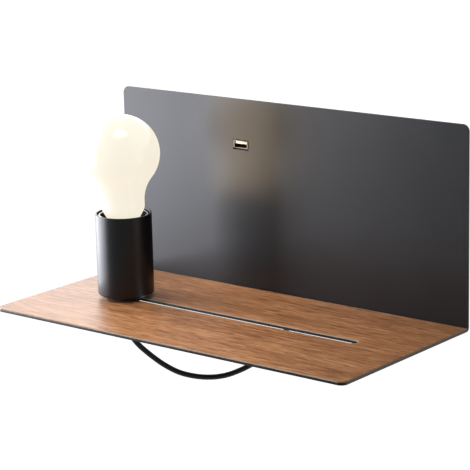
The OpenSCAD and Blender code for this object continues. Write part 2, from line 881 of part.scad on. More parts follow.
module holder_skirt() {
    lower_h = 22;
    color("#d9d7d0") at_holder() translate([0, 0, skirt_low]) difference() {
        cylinder(r = skirt_r, h = skirt_top - skirt_low, $fn = 96);
        translate([0, 0, 2]) cylinder(r = skirt_r - skirt_wall, h = lower_h, $fn = 96);
        translate([0, 0, lower_h + 1])
            cylinder(r = skirt_r - rim_wall, h = skirt_top - skirt_low, $fn = 96);
        translate([0, 0, -1]) cylinder(r = skirt_r - skirt_wall - 0.7, h = 4, $fn = 96);
    }
}

// A wavy line of rounded thread turns from z0 up to z1, r at its crests.
function thread_line(r, depth, z0, z1) =
    let (steps = round((z1 - z0) / e27_pitch * 6))
    [for (i = [0 : steps])
        let (z = z0 + (z1 - z0) * i / steps)
        [r - depth / 2 + depth / 2 * cos(360 * (z - z0) / e27_pitch), z]];
function reversed(list) = [for (i = [len(list) - 1 : -1 : 0]) list[i]];
function shifted(list, dr) = [for (p = list) [p[0] + dr, p[1]]];

module screw_shell() {
    inner = thread_line(shell_r + e27_depth, e27_depth, shell_low, shell_low + shell_h);
    color("#c9a95e") at_holder() {
        rotate_extrude() polygon(concat(inner, reversed(shifted(inner, shell_skin))));
        translate([0, 0, shell_low]) tube(shell_r + e27_depth + shell_skin / 2, shell_ring_r, shell_skin);
    }
}

// A bent strip of sheet, drawn as its edge and given its width across Y.
module strip(points) {
    translate([0, contact_w / 2, 0]) rotate([90, 0, 0]) linear_extrude(contact_w) polygon(points);
}

module centre_contact() {
    x0 = contact_x - contact_t / 2;
    x1 = contact_x + contact_t / 2;
    spring_top = tip_z - slip;
    color("#c9a95e") at_holder() strip([[x0, tail_z], [x1, tail_z], [x1, core_top],
        [8, core_top], [8, core_top + contact_t], [x1, core_top + contact_t],
        [-3, spring_top], [-5, spring_top], [-5, spring_top - contact_t],
        [-3.2, spring_top - contact_t], [x0, core_top + contact_t / 2]]);
}

// This strip steps up over the screw shell's base ring and lies on it.
module side_contact() {
    x0 = -contact_x - contact_t / 2;
    x1 = -contact_x + contact_t / 2;
    step_x = 0.5 - sqrt(pow(shell_ring_r, 2) - pow(contact_w / 2, 2));
    lap_x = step_x - 2.4;
    lap_z = core_top + shell_skin;
    color("#c9a95e") at_holder() strip([[x0, tail_z], [x1, tail_z], [x1, core_top + contact_t],
        [step_x, lap_z + contact_t], [lap_x, lap_z + contact_t], [lap_x, lap_z],
        [step_x - 0.4, lap_z], [step_x, core_top], [x0, core_top]]);
}

// Two cores from the end of the sheath, straight out of it and straight up to the contacts.
module holder_leads() {
    x0 = core_d / 2 + 0.3;
    x1 = contact_x;
    rise = tail_z - lead_z;
    color("#4b4f78") at_holder() for (side = [-1, 1])
        swept([[side * x0, 0, lead_z],
            [side * x0, 0, lead_z + 0.15 * rise],
            [side * (x0 + 0.25 * (x1 - x0)), 0, lead_z + 0.35 * rise],
            [side * (x0 + 0.75 * (x1 - x0)), 0, lead_z + 0.65 * rise],
            [side * x1, 0, lead_z + 0.85 * rise],
            [side * x1, 0, tail_z]], core_d);
}

module stem_flex() {
    color("#17181a") at_holder() translate([0, 0, exit_z])
        cylinder(d = flex_d, h = lead_z - exit_z);
}

module cord_grip() {
    color("#1d1e20") at_holder() difference() {
        translate([0, 0, exit_z]) cylinder(d = grip_d, h = grip_h);
        translate([0, 0, exit_z - 1]) cylinder(d = flex_d + 0.1, h = grip_h + 2);
        translate([0, 0, stem_low]) cylinder(r = stem_r + thread_gap, h = grip_h);
        translate([0, 0, grip_screw_z]) rotate([-90, 0, 0])
            cylinder(r = 1 + thread_gap, h = grip_d);
    }
}

module grip_screw() {
    color("#c9ccd0") at_holder() translate([0, flex_d / 2 + 0.05, grip_screw_z]) rotate([-90, 0, 0])
        cylinder(r = 1, h = grip_d / 2 - flex_d / 2 - 0.4);
}

module clamp_washer() {
    color("#d7d5cf") at_holder() translate([0, 0, thumb_top])
        tube(thumb_d / 2, stem_r + slip, washer_t);
}

// The thumb nut has a band of straight knurling round its edge.
module clamp_nut() {
    grooves = 30;
    color("#232427") at_holder() translate([0, 0, thumb_top - thumb_h]) difference() {
        cylinder(d = thumb_d, h = thumb_h);
        translate([0, 0, -1]) cylinder(r = stem_r + thread_gap, h = thumb_h + 2);
        for (k = [0 : grooves - 1]) rotate(360 * k / grooves) translate([thumb_d / 2, 0, -1])
            cylinder(r = 0.45, h = thumb_h + 2, $fn = 4);
    }
}

// ---- The bulb ----

// Half of the bulb's section, drawn in by inset from the outer face of the glass.
module bulb_section(inset) {
    intersection() {
        union() {
            translate([0, ball_z]) circle(bulb_r - inset, $fn = 128);
            difference() {
                translate([0, blend_z]) square([blend_top_r, blend_top_z - blend_z]);
                translate([neck_r + blend_r, blend_z]) circle(blend_r + inset, $fn = 96);
            }
            translate([0, cap_z1 + taper_h])
                square([neck_r - inset, blend_z - cap_z1 - taper_h + eps]);
            polygon([[0, cap_z1], [e27_r + 0.2 - inset, cap_z1],
                [neck_r - 1 - inset, cap_z1 + 0.6 * taper_h],
                [neck_r - inset, cap_z1 + taper_h + eps], [0, cap_z1 + taper_h + eps]]);
        }
        translate([0, cap_z1 - (inset > 0 ? 1 : 0)]) square([bulb_r + 1, bulb_l]);
    }
}

module bulb_glass() {
    color("#f4f0e2") at_holder() rotate_extrude($fn = 96) difference() {
        bulb_section(0);
        bulb_section(glass_t);
        translate([0, cap_z1 - 1]) square([e27_r + 0.2 - glass_t, 1.5]);
    }
}

module bulb_cap() {
    outer = thread_line(e27_r, e27_depth, cap_z0, cap_z1);
    color("#bfc1c4") at_holder() rotate_extrude()
        polygon(concat(outer, reversed(shifted(outer, -e27_skin))));
}

module bulb_insulator() {
    color("#191a1c") at_holder() rotate_extrude() polygon([[0, cap_z0 - insulator_h],
        [tip_r + 0.6, cap_z0 - insulator_h], [e27_r - 1, cap_z0], [0, cap_z0]]);
}

module bulb_tip() {
    color("#c9ccd0") at_holder() translate([0, 0, tip_z])
        cylinder(r1 = tip_r - 1, r2 = tip_r, h = tip_h);
}

module filament_mount() {
    flare_r = e27_r + 0.2 - glass_t - 0.2;
    color("#dfe6e6") at_holder() rotate_extrude() polygon([[0, cap_z1 + 0.1], [flare_r, cap_z1 + 0.1],
        [flare_r, cap_z1 + 0.9], [mount_r, cap_z1 + mount_foot], [mount_r, mount_top - mount_neck],
        [mount_tip_r, mount_top - mount_taper], [mount_tip_r, mount_top], [0, mount_top]]);
}

module filament_spots() {
    for (k = [0 : filament_count - 1]) rotate(360 * k / filament_count)
        translate([filament_ring_r, 0, filament_z0]) children();
}

// A centre wire with an arm to the top of each filament, and an arm from the mount to each bottom.
module filament_wires() {
    top_z = filament_z0 + filament_l;
    low_z = mount_top - 1.5;
    low_r = mount_tip_r + 0.05;
    color("#b9bcc0") at_holder() {
        translate([0, 0, mount_top]) cylinder(d = wire_d, h = top_z + 1.5 - mount_top);
        for (k = [0 : filament_count - 1]) rotate(360 * k / filament_count) {
            translate([-eps, 0, top_z + 1]) rotate([0, 90, 0]) cylinder(d = wire_d, h = filament_ring_r);
            translate([filament_ring_r - wire_d / 2, 0, top_z]) cylinder(d = wire_d, h = 1.3);
            translate([low_r, 0, low_z]) rotate([0, 90, 0])
                cylinder(d = wire_d, h = filament_ring_r - low_r);
            translate([filament_ring_r - wire_d / 2, 0, low_z])
                cylinder(d = wire_d, h = filament_z0 - low_z);
        }
    }
}

module led_filaments() {
    color("#e8c25a") at_holder() filament_spots() cylinder(d = filament_d, h = filament_l);
}

// ---- Drawing ----

shelf_frame();
shelf_veneer();
rear_tray();
wall_bracket();
ear_nuts();
side_screws();
m4_studs();
m4_nuts();
m3_studs();
m3_nuts();
usb_shell();
usb_tongue();
usb_contacts();
usb_board();
usb_carrier();
driver_case();
driver_lid();
driver_board();
driver_pad();
terminal_block();
terminal_screws();
earth_lug();
cable_grommet();
flex_saddle();
tray_flex();
live_lead();
neutral_lead();
earth_lead();
driver_leads();
usb_leads();
flex();
cup();
glide_pad();
stem();
stem_washer();
stem_nut();
holder_cap();
holder_core();
holder_skirt();
screw_shell();
centre_contact();
side_contact();
holder_leads();
stem_flex();
cord_grip();
grip_screw();
clamp_washer();
clamp_nut();
bulb_glass();
bulb_cap();
bulb_insulator();
bulb_tip();
filament_mount();
filament_wires();
led_filaments();
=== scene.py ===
"""Looks of the wall lamp with a sliding lampholder: its finishes, eased edges, opal bulb and hanging flex.

Everything is in metres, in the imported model's own frame: +Z up, the wall at y = 0 and the room towards -Y.
"""
import json
import math

import bmesh
import bpy
from mathutils import Euler, Matrix, Vector


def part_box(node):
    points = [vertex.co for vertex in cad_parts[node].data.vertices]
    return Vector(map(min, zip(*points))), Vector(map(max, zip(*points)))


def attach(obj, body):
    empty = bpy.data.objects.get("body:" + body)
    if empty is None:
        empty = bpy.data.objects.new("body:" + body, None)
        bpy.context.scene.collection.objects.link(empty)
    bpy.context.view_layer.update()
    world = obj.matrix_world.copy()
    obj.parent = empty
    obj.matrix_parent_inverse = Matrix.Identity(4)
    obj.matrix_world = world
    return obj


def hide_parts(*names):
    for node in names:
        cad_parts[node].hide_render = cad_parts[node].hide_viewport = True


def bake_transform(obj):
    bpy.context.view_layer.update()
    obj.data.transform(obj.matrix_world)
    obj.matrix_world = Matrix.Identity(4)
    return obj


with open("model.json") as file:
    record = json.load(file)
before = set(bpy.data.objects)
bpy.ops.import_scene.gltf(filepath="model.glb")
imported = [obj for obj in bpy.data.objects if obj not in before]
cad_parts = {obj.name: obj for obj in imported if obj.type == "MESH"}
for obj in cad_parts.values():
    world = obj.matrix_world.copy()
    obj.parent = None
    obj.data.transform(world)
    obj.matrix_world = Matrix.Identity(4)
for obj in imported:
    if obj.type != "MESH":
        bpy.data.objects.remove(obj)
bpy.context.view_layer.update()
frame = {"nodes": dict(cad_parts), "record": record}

MM = 0.001

# The rigid bodies that the new pieces ride on.
SHEET_BODY = "lamp_frame"
HOLDER_BODY = "lampholder"
BULB_BODY = "bulb"

# Each imported node's body.
BODIES = {node: body for body, nodes in frame["record"]["behaviour"]["bodies"].items() for node in nodes}

# Edges that turn by more than these many degrees are rounded, or stay crisp in the shading.
ROUNDED_ANGLE = 30
CRISP_ANGLE = 40

# Corners closer than these, in metres, are one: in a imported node's mesh and in a spun one.
PACKED_WELD = 1e-6
SPUN_WELD = 1e-7


# ---- Camera ----

CAMERA_AT = Vector((0.9079, -1.2037, 0.3517))
CAMERA_AZIMUTH = 39.17  # degrees to the right of straight on
CAMERA_ELEVATION = 13.76  # degrees above the horizon
CAMERA_ROLL = -1.44  # degrees
CAMERA_LENS = 151.42  # millimetres
SENSOR_WIDTH = 36  # millimetres
CAMERA_REACH = 100  # metres


def make_camera():
    """The photograph's own viewpoint, found from the edges of the folded sheet."""
    data = bpy.data.cameras.new("camera")
    data.sensor_width = SENSOR_WIDTH
    data.lens = CAMERA_LENS
    data.clip_end = CAMERA_REACH
    camera = bpy.data.objects.new("camera", data)
    bpy.context.scene.collection.objects.link(camera)
    aim = Euler((math.radians(90 - CAMERA_ELEVATION), 0, math.radians(CAMERA_AZIMUTH))).to_matrix()
    turn = aim @ Matrix.Rotation(math.radians(CAMERA_ROLL), 3, "Z")
    camera.matrix_world = Matrix.Translation(CAMERA_AT) @ turn.to_4x4()
    bpy.context.scene.camera = camera


# ---- Building materials ----

def srgb(code):
    """A hex colour as the linear RGBA that a shader takes."""
    channels = [int(code[i:i + 2], 16) / 255 for i in (1, 3, 5)]
    linear = [c / 12.92 if c <= 0.04045 else ((c + 0.055) / 1.055) ** 2.4 for c in channels]
    return (*linear, 1)


def per_mm(size):
    """A texture's scale, in turns per metre, for a feature of that size in millimetres."""
    return 1 / (size * MM)


def add(tree, kind, inputs=None, **settings):
    """Adds a node, sets its settings, and fills or links its inputs by name or number."""
    made = tree.nodes.new(kind)
    for name, value in settings.items():
        setattr(made, name, value)
    for name, value in (inputs or {}).items():
        if isinstance(value, bpy.types.NodeSocket):
            tree.links.new(value, made.inputs[name])
        else:
            made.inputs[name].default_value = value
    return made


def surface(name, colour, roughness, **sockets):
    """A material's name, node tree and shader, with the values that are the same all over it."""
    made = bpy.data.materials.new(name)
    made.use_nodes = True
    tree = made.node_tree
    shader = tree.nodes["Principled BSDF"]
    shader.inputs["Base Color"].default_value = srgb(colour)
    shader.inputs["Roughness"].default_value = roughness
    for socket, value in sockets.items():
        shader.inputs[socket].default_value = value
    return made, tree, shader


def tone(tree, shader, factor, dark, light):
    """Colours the surface between two shades by a pattern."""
    mix = add(tree, "ShaderNodeMix", {0: factor, 6: srgb(dark), 7: srgb(light)}, data_type="RGBA")
    tree.links.new(mix.outputs[2], shader.inputs["Base Color"])


def polish(tree, shader, pattern, least, most):
    """Lets the roughness run between two values by a pattern."""
    span = add(tree, "ShaderNodeMapRange", {"Value": pattern, "To Min": least, "To Max": most})
    tree.links.new(span.outputs["Result"], shader.inputs["Roughness"])


def relief(tree, shader, height, depth):
    """Raises the surface by a pattern, by that depth in millimetres."""
    bump = add(tree, "ShaderNodeBump", {"Height": height, "Distance": depth * MM, "Strength": 1})
    tree.links.new(bump.outputs["Normal"], shader.inputs["Normal"])


def clouds(tree, size, stretch=(1, 1, 1), detail=2, **inputs):
    """Soft noise of that size in millimetres, drawn out along an axis by its stretch."""
    place = add(tree, "ShaderNodeTexCoord").outputs["Object"]
    scale = [1 / s for s in stretch]
    drawn = add(tree, "ShaderNodeMapping", {"Vector": place, "Scale": scale}).outputs["Vector"]
    given = {"Vector": drawn, "Scale": per_mm(size), "Detail": detail, **inputs}
    return add(tree, "ShaderNodeTexNoise", given).outputs["Fac"]


# ---- The materials ----

def powder_coat():
    """Polyester powder coat on steel, baked: a satin black skin with a fine orange peel."""
    made, tree, shader = surface("powder_coated_steel", "#111216", 0.36, IOR=1.5)
    peel = clouds(tree, 0.9, detail=3)
    mottle = clouds(tree, 24, detail=4)
    tone(tree, shader, mottle, "#0e0f13", "#131519")
    polish(tree, shader, mottle, 0.33, 0.39)
    relief(tree, shader, peel, 0.01)
    return made


def cup_lacquer():
    """Satin stoving lacquer on a drawn steel cup: smoother and deeper black than the powder coat."""
    # The black leans blue: painted reflection of cool light, over the lacquer's own black.
    made, tree, shader = surface("lacquered_cup_steel", "#0a0e14", 0.36, IOR=1.5)
    polish(tree, shader, clouds(tree, 9, detail=3), 0.32, 0.39)
    relief(tree, shader, clouds(tree, 1.6), 0.004)
    return made


def oak():
    """Sliced oak veneer, stained and oiled: long straight grain, short dark pores and a soft sheen.

    The fibres, 2.1 mm, and the pores, 1.6 mm, are drawn some three times as coarse as real ones, so
    that they show.
    """
    made, tree, shader = surface("oiled_oak_veneer", "#a57147", 0.4, IOR=1.36)
    band = clouds(tree, 14, stretch=(16, 1, 1), detail=2, Distortion=0.4)
    fibre = clouds(tree, 2.1, stretch=(15, 1, 1), detail=3, Roughness=0.8)
    pores = clouds(tree, 1.6, stretch=(8, 1, 1), detail=2)
    figure = add(tree, "ShaderNodeMix", {0: 0.76, 2: band, 3: fibre}).outputs[0]
    spread = add(tree, "ShaderNodeMapRange", {"Value": figure, "From Min": 0.38, "From Max": 0.62})
    shades = add(tree, "ShaderNodeValToRGB", {"Fac": spread.outputs["Result"]})
    ramp = shades.color_ramp
    ramp.elements[0].color = srgb("#7a4b2b")
    ramp.elements[1].color = srgb("#c48f63")
    middle = ramp.elements.new(0.5)
    middle.color = srgb("#a57147")
    pore_range = {"Value": pores, "From Min": 0.56, "From Max": 0.68, "To Max": 0.65}
    pore_mask = add(tree, "ShaderNodeMapRange", pore_range).outputs["Result"]
    inks = {0: pore_mask, 6: shades.outputs["Color"], 7: srgb("#643c22")}
    inked = add(tree, "ShaderNodeMix", inks, data_type="RGBA")
    tree.links.new(inked.outputs[2], shader.inputs["Base Color"])
    polish(tree, shader, fibre, 0.33, 0.42)
    relief(tree, shader, pores, 0.02)
    return made


def oak_edge():
    """The veneer's sawn edge: raw, paler and drier than its stained face."""
    made, tree, shader = surface("sawn_oak_edge", "#c4a68c", 0.7, IOR=1.45)
    tone(tree, shader, clouds(tree, 0.8, stretch=(3, 3, 1)), "#b59478", "#cfb49b")
    relief(tree, shader, clouds(tree, 0.5), 0.02)
    return made


def opal_glass():
    """Blown glass with a milk-white coat inside: a glossy skin over soft, warm white light.

    Its glow gives most of the white, so its own colour is a mid grey.
    """
    made, tree, shader = surface("blown_opal_glass", "#6e6b66", 0.16, IOR=1.5)
    shader.inputs["Emission Color"].default_value = srgb("#fdf5e2")
    shader.inputs["Emission Strength"].default_value = 0.9
    tone(tree, shader, clouds(tree, 30), "#686560", "#74716c")
    return made


def plated(name, dark, light, roughness, grain):
    """Bright plating on stamped or turned metal: cloudy shine with handling marks of the grain's size."""
    made, tree, shader = surface(name, light, roughness, Metallic=1)
    cloud = clouds(tree, grain * 8, detail=3)
    marks = clouds(tree, grain, detail=4)
    pits = clouds(tree, grain * 0.4)
    tone(tree, shader, cloud, dark, light)
    polish(tree, shader, marks, roughness * 0.7, roughness * 1.4)
    relief(tree, shader, pits, 0.004)
    return made


def moulded(name, dark, light, roughness, grit=0.6):
    """Moulded or extruded plastic, rubber or ceramic: an even colour with a faintly gritty skin."""
    made, tree, shader = surface(name, light, roughness, IOR=1.49)
    shade = clouds(tree, 14, detail=3)
    gloss = clouds(tree, grit * 6)
    eroded = clouds(tree, grit)
    tone(tree, shader, shade, dark, light)
    polish(tree, shader, gloss, roughness * 0.85, roughness * 1.15)
    relief(tree, shader, eroded, 0.01)
    return made


def clear_glass():
    """The bulb's inner flare: thin clear lead glass."""
    made, tree, shader = surface("drawn_clear_glass", "#eef3f2", 0.03, IOR=1.5)
    shader.inputs["Transmission Weight"].default_value = 1
    polish(tree, shader, clouds(tree, 6), 0.02, 0.06)
    return made


def grey_felt():
    """Pressed wool felt: a matt grey nap."""
    made, tree, shader = surface("pressed_felt", "#4a4c50", 0.9, IOR=1.4)
    nap = clouds(tree, 0.35, detail=4)
    tone(tree, shader, nap, "#3a3c40", "#575a5f")
    relief(tree, shader, nap, 0.08)
    return made


# ---- Building pieces ----

def sharp(bm):
    """The edges that are to be rounded."""
    limit = math.radians(ROUNDED_ANGLE)
    return [e for e in bm.edges if len(e.link_faces) == 2 and e.calc_face_angle() > limit]


def ease(bm, edges, width, segments=2):
    """Rounds edges by that many millimetres."""
    bmesh.ops.bevel(bm, geom=edges, offset=width * MM, offset_type="OFFSET", affect="EDGES",
                    segments=segments, profile=0.5, material=-1)


def piece(name, bm, finish, body=None, stands_for=()):
    """Makes a finished piece from a bmesh, and lets it ride on its body."""
    mesh = bpy.data.meshes.new(name)
    bm.to_mesh(mesh)
    bm.free()
    mesh.shade_smooth()
    mesh.set_sharp_from_angle(angle=math.radians(CRISP_ANGLE))
    made = bpy.data.objects.new(name, mesh)
    bpy.context.scene.collection.objects.link(made)
    made.data.materials.append(finish)
    made.modifiers.new("even_normals", "WEIGHTED_NORMAL").keep_sharp = True
    if body:
        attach(made, body)
    if stands_for:
        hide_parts(*stands_for)
    return made


def merged(node):
    """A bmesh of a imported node, with its doubled corners and flat seams gone."""
    bm = bmesh.new()
    bm.from_mesh(frame["nodes"][node].data)
    bmesh.ops.remove_doubles(bm, verts=bm.verts, dist=PACKED_WELD)
    flat = math.radians(1)
    bmesh.ops.dissolve_limit(bm, angle_limit=flat, verts=bm.verts, edges=bm.edges)
    return bm


def eased(node, width, finish):
    """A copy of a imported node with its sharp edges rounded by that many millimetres."""
    bm = merged(node)
    ease(bm, sharp(bm), width)
    piece(node + "_eased", bm, finish, BODIES[node], (node,))


def spun(outline, steps=128):
    """A bmesh of a closed outline of (radius, height) points, in metres, turned round Z."""
    bm = bmesh.new()
    ring = [bm.verts.new((r, 0, z)) for r, z in outline]
    edges = [bm.edges.new((a, b)) for a, b in zip(ring, ring[1:] + ring[:1])]
    bmesh.ops.spin(bm, geom=ring + edges, cent=(0, 0, 0), axis=(0, 0, 1), angle=2 * math.pi,
                   steps=steps, use_merge=True)
    bmesh.ops.remove_doubles(bm, verts=bm.verts, dist=SPUN_WELD)
    bmesh.ops.recalc_face_normals(bm, faces=bm.faces)
    return bm


def moved(bm, place):
    """Puts a bmesh's own origin at that place."""
    bmesh.ops.translate(bm, verts=bm.verts, vec=place)
    return bm


def axis_of(node):
    """The point at height zero on a round node's upright axis."""
    low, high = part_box(node)
    return Vector(((low.x + high.x) / 2, (low.y + high.y) / 2, 0))


# ---- The flex ----

# The route from the cord grip under the shelf to the grommet in the tray, in millimetres.
FLEX_ROUTE = [
    (-102, -100.5, -79), (-102, -100.5, -84), (-101, -100, -89.5), (-99, -98, -95.3),
    (-95.7, -95.1, -101.2), (-91.3, -91.4, -106.9), (-86, -87, -112.9), (-79.9, -81.7, -119),
    (-71.9, -75, -124.8), (-62.7, -67.2, -128.3), (-53.2, -59.1, -129.6), (-44, -51.3, -128.4),
    (-35.3, -43.9, -124.6), (-27.6, -37.4, -119.6), (-20.8, -31.6, -113.5), (-14.7, -26.4, -106),
    (-9.3, -21.9, -97.5), (-4.8, -18, -87.5), (-1.7, -15.5, -79.5), (-0.3, -14.3, -73.5),
    (0, -14, -70), (0, -14, -67)]
FLEX_DIAMETER = 4.4 * MM
FLEX_STEPS = 4  # pieces of the drawn line to each stretch of the route


def smooth_line(points, steps):
    """Points on a Catmull-Rom curve through the given points."""
    padded = [2 * points[0] - points[1], *points, 2 * points[-1] - points[-2]]
    line = []
    for a, b, c, d in zip(padded, padded[1:], padded[2:], padded[3:]):
        for k in range(steps):
            t = k / steps
            line.append(0.5 * (2 * b + (c - a) * t + (2 * a - 5 * b + 4 * c - d) * t * t
                               + (3 * b - a - 3 * c + d) * t ** 3))
    return line + [points[-1]]


def tube_mesh(name, line, diameter):
    """A mesh tube with closed ends along a line of points."""
    curve = bpy.data.curves.new(name, "CURVE")
    curve.dimensions = "3D"
    curve.bevel_depth = diameter / 2
    curve.bevel_resolution = 6
    curve.use_fill_caps = True
    spline = curve.splines.new("POLY")
    spline.points.add(len(line) - 1)
    for point, place in zip(spline.points, line):
        point.co = (*place, 1)
    drawn = bpy.data.objects.new(name, curve)
    bpy.context.scene.collection.objects.link(drawn)
    mesh = bpy.data.meshes.new_from_object(drawn.evaluated_get(bpy.context.evaluated_depsgraph_get()))
    bpy.data.objects.remove(drawn)
    mesh.name = name
    return mesh


def make_flex(finish):
    """The black flex that hangs under the shelf."""
    line = smooth_line([Vector(p) * MM for p in FLEX_ROUTE], FLEX_STEPS)
    made = bpy.data.objects.new("hanging_flex", tube_mesh("hanging_flex", line, FLEX_DIAMETER))
    bpy.context.scene.collection.objects.link(made)
    made.data.shade_smooth()
    made.data.set_sharp_from_angle(angle=math.radians(CRISP_ANGLE))
    made.data.materials.append(finish)
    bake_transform(made)
    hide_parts("flex")


# ---- The lampholder ----

def make_cup(finish):
    """The drawn steel cup, with a turned-in base edge and a fine lip."""
    low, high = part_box("cup")
    inner_low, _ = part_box("stem_washer")
    outer = (high.x - low.x) / 2
    wall = 1.5 * MM
    hole = 4.1 * MM  # radius of the hole for the stem
    base = inner_low.z
    foot_round = 1.4  # millimetres
    lip_round = 0.35  # millimetres
    bm = spun([(hole, low.z), (outer, low.z), (outer, high.z), (outer - wall, high.z),
               (outer - wall, base), (hole, base)])
    foot = [e for e in sharp(bm) if all(v.co.z < low.z + MM / 2 for v in e.verts)]
    ease(bm, foot, foot_round, segments=6)
    ease(bm, sharp(bm), lip_round, segments=3)
    piece("cup_shell", moved(bm, axis_of("cup")), finish, HOLDER_BODY, ("cup",))


def paint(bm, chosen):
    """Gives the piece's second finish to the faces that are chosen."""
    for face in bm.faces:
        face.material_index = int(chosen(face))


def make_skirt(finish, inside):
    """The lampholder's ring, with a pale rim that shows just inside the cup's, and black below that rim:
    painted shade for its deep bore.
    """
    low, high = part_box("holder_skirt")
    outer = (high.x - low.x) / 2
    rim = outer - 1 * MM  # bore above the step
    wall = outer - 1.6 * MM  # bore below it
    step = low.z + 23 * MM
    ledge = wall - 0.7 * MM  # bore of the ring at the foot
    ledge_top = low.z + 2 * MM
    pale_low = high.z - 1 * MM
    bm = spun([(ledge, low.z), (outer, low.z), (outer, high.z), (rim, high.z), (rim, step),
               (wall, step), (wall, ledge_top), (ledge, ledge_top)], steps=96)
    ease(bm, sharp(bm), 0.2)
    # Faces below the top millimetre take the black finish: painted shade in the bore.
    paint(bm, lambda face: face.calc_center_median().z < pale_low)
    made = piece("skirt_ring", moved(bm, axis_of("holder_skirt")), finish, HOLDER_BODY, ("holder_skirt",))
    made.data.materials.append(inside)


# ---- The socket and the veneer ----

def make_usb_shell(finish):
    """The socket's drawn shell, whose lip is rolled round at the front."""
    low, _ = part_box("usb_shell")
    front = low.y + 0.1 * MM
    roll = 0.21  # radius of the rolled lip, in millimetres
    bm = merged("usb_shell")
    rim = [e for e in sharp(bm) if all(v.co.y < front for v in e.verts)]
    ease(bm, rim, roll, segments=4)
    piece("rolled_usb_shell", bm, finish, SHEET_BODY, ("usb_shell",))


def make_veneer(face_finish, edge_finish):
    """The oak face, with paler sawn edges along the front, the sides and the slot."""
    upright = 0.5  # a face whose normal rises by less than this is an edge
    bm = merged("shelf_veneer")
    ease(bm, sharp(bm), 0.1)
    paint(bm, lambda face: abs(face.normal.z) < upright)
    made = piece("oak_top", bm, face_finish, SHEET_BODY, ("shelf_veneer",))
    made.data.materials.append(edge_finish)


# ---- The bulb ----

def arc(centre, radius, start, end, steps):
    """Points of an arc in the (radius, height) plane, between two angles in degrees."""
    angles = [math.radians(start + (end - start) * k / steps) for k in range(steps + 1)]
    return [(centre[0] + radius * math.cos(a), centre[1] + radius * math.sin(a)) for a in angles]


def make_bulb(finish):
    """The blown opal envelope: a ball that draws in to a straight neck and tapers into its cap."""
    low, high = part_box("bulb_glass")
    ball = (high.x - low.x) / 2
    neck = 16.8 * MM  # radius of the straight neck
    straight = 4.5 * MM  # its length
    cap_r = 13.2 * MM  # radius where the glass enters the cap
    shoulder = low.z + 8 * MM  # height where the taper to the cap starts
    taper = 1.6 * MM  # drop from one point of the taper to the next
    ball_z = high.z - ball
    fall = ball_z - shoulder - straight
    # The hollow curve that touches both the ball and the neck.
    fillet = (fall ** 2 - ball ** 2 + neck ** 2) / (2 * (ball - neck))
    reach = neck + fillet
    fillet_z = ball_z - fall
    tangent = math.degrees(math.atan2(-fall, reach))
    outline = [(0, high.z)]
    outline += arc((0, ball_z), ball, 90, tangent, steps=40)[1:]
    outline += arc((reach, fillet_z), fillet, 180 + tangent, 180, steps=14)[1:]
    outline += [(neck, shoulder)]
    outline += [(neck - 0.3 * MM, shoulder - taper), (neck - 1 * MM, shoulder - 2 * taper),
                (cap_r, low.z), (0, low.z)]
    bm = spun(outline)
    return piece("opal_bulb", moved(bm, axis_of("bulb_glass")), finish, BULB_BODY, ("bulb_glass",))


def threaded(low, high, crest, depth, pitch, skin):
    """A rolled thread as a thin open tube, in metres: a sleeve whose radius follows a helix."""
    rows = 60
    columns = 96
    bm = bmesh.new()
    line = [bm.verts.new((crest, 0, low + (high - low) * k / rows)) for k in range(rows + 1)]
    edges = [bm.edges.new(pair) for pair in zip(line, line[1:])]
    bmesh.ops.spin(bm, geom=line + edges, cent=(0, 0, 0), axis=(0, 0, 1), angle=2 * math.pi,
                   steps=columns, use_merge=True)
    bmesh.ops.remove_doubles(bm, verts=bm.verts, dist=SPUN_WELD)
    for v in bm.verts:
        turn = math.atan2(v.co.y, v.co.x)
        wave = 0.5 - 0.5 * math.cos(math.tau * (v.co.z - low) / pitch - turn)
        fade = min(1, (v.co.z - low) / pitch, (high - v.co.z) / pitch)
        shrink = 1 - depth * wave * fade / crest
        v.co.x *= shrink
        v.co.y *= shrink
    bmesh.ops.recalc_face_normals(bm, faces=bm.faces)
    bmesh.ops.solidify(bm, geom=bm.faces, thickness=skin)
    return bm


def make_threads(cap_finish, shell_finish):
    """The bulb's rolled cap and the shell that it screws into, with true helical threads."""
    pitch = 3.6 * MM
    depth = 0.6 * MM
    for node, skin, finish in (("bulb_cap", 0.5 * MM, cap_finish), ("screw_shell", 0.4 * MM, shell_finish)):
        low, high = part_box(node)
        crest = (high.x - low.x) / 2
        bm = threaded(low.z, high.z, crest, depth, pitch, skin)
        piece("rolled_" + node, moved(bm, axis_of(node)), finish, BODIES[node], (node,))


# ---- Stage and light ----

# The studio, where a strength of 1 is white.
WORLD_FILL = 0.16  # what the surround gives to matt surfaces
FLOOR_SEEN = 0.9  # the floor's own strength to the eye, which the light on it adds to
ROOM_STRENGTH = 0.15  # what a mirrored ray finds towards the room in front
FLOOR_HEIGHT = -1.5  # metres
FLOOR_HALF = 14  # metres from its middle to its edge


def backdrop_glow(tree, ahead, reach, unseen, seen):
    """The backdrop's strength: full where the eye sees it, less where it only lights the lamp.

    A mirrored ray sees it full behind the lamp and dim towards the room in front.
    """
    rays = add(tree, "ShaderNodeLightPath").outputs
    mirrored = add(tree, "ShaderNodeMapRange", {"Value": ahead, "From Min": -reach, "From Max": reach,
                                                "To Min": ROOM_STRENGTH, "To Max": seen}).outputs["Result"]
    blind = add(tree, "ShaderNodeMix", {0: rays["Is Glossy Ray"], 2: unseen, 3: mirrored}).outputs[0]
    eye = add(tree, "ShaderNodeMath", {0: rays["Is Camera Ray"], 1: rays["Is Transmission Ray"]},
              operation="ADD", use_clamp=True).outputs[0]
    return add(tree, "ShaderNodeMix", {0: eye, 2: blind, 3: seen}).outputs[0]


def northing(tree, output):
    """How far a place or a direction lies towards the wall's side."""
    place = add(tree, "ShaderNodeTexCoord").outputs[output]
    return add(tree, "ShaderNodeSeparateXYZ", {0: place}).outputs["Y"]


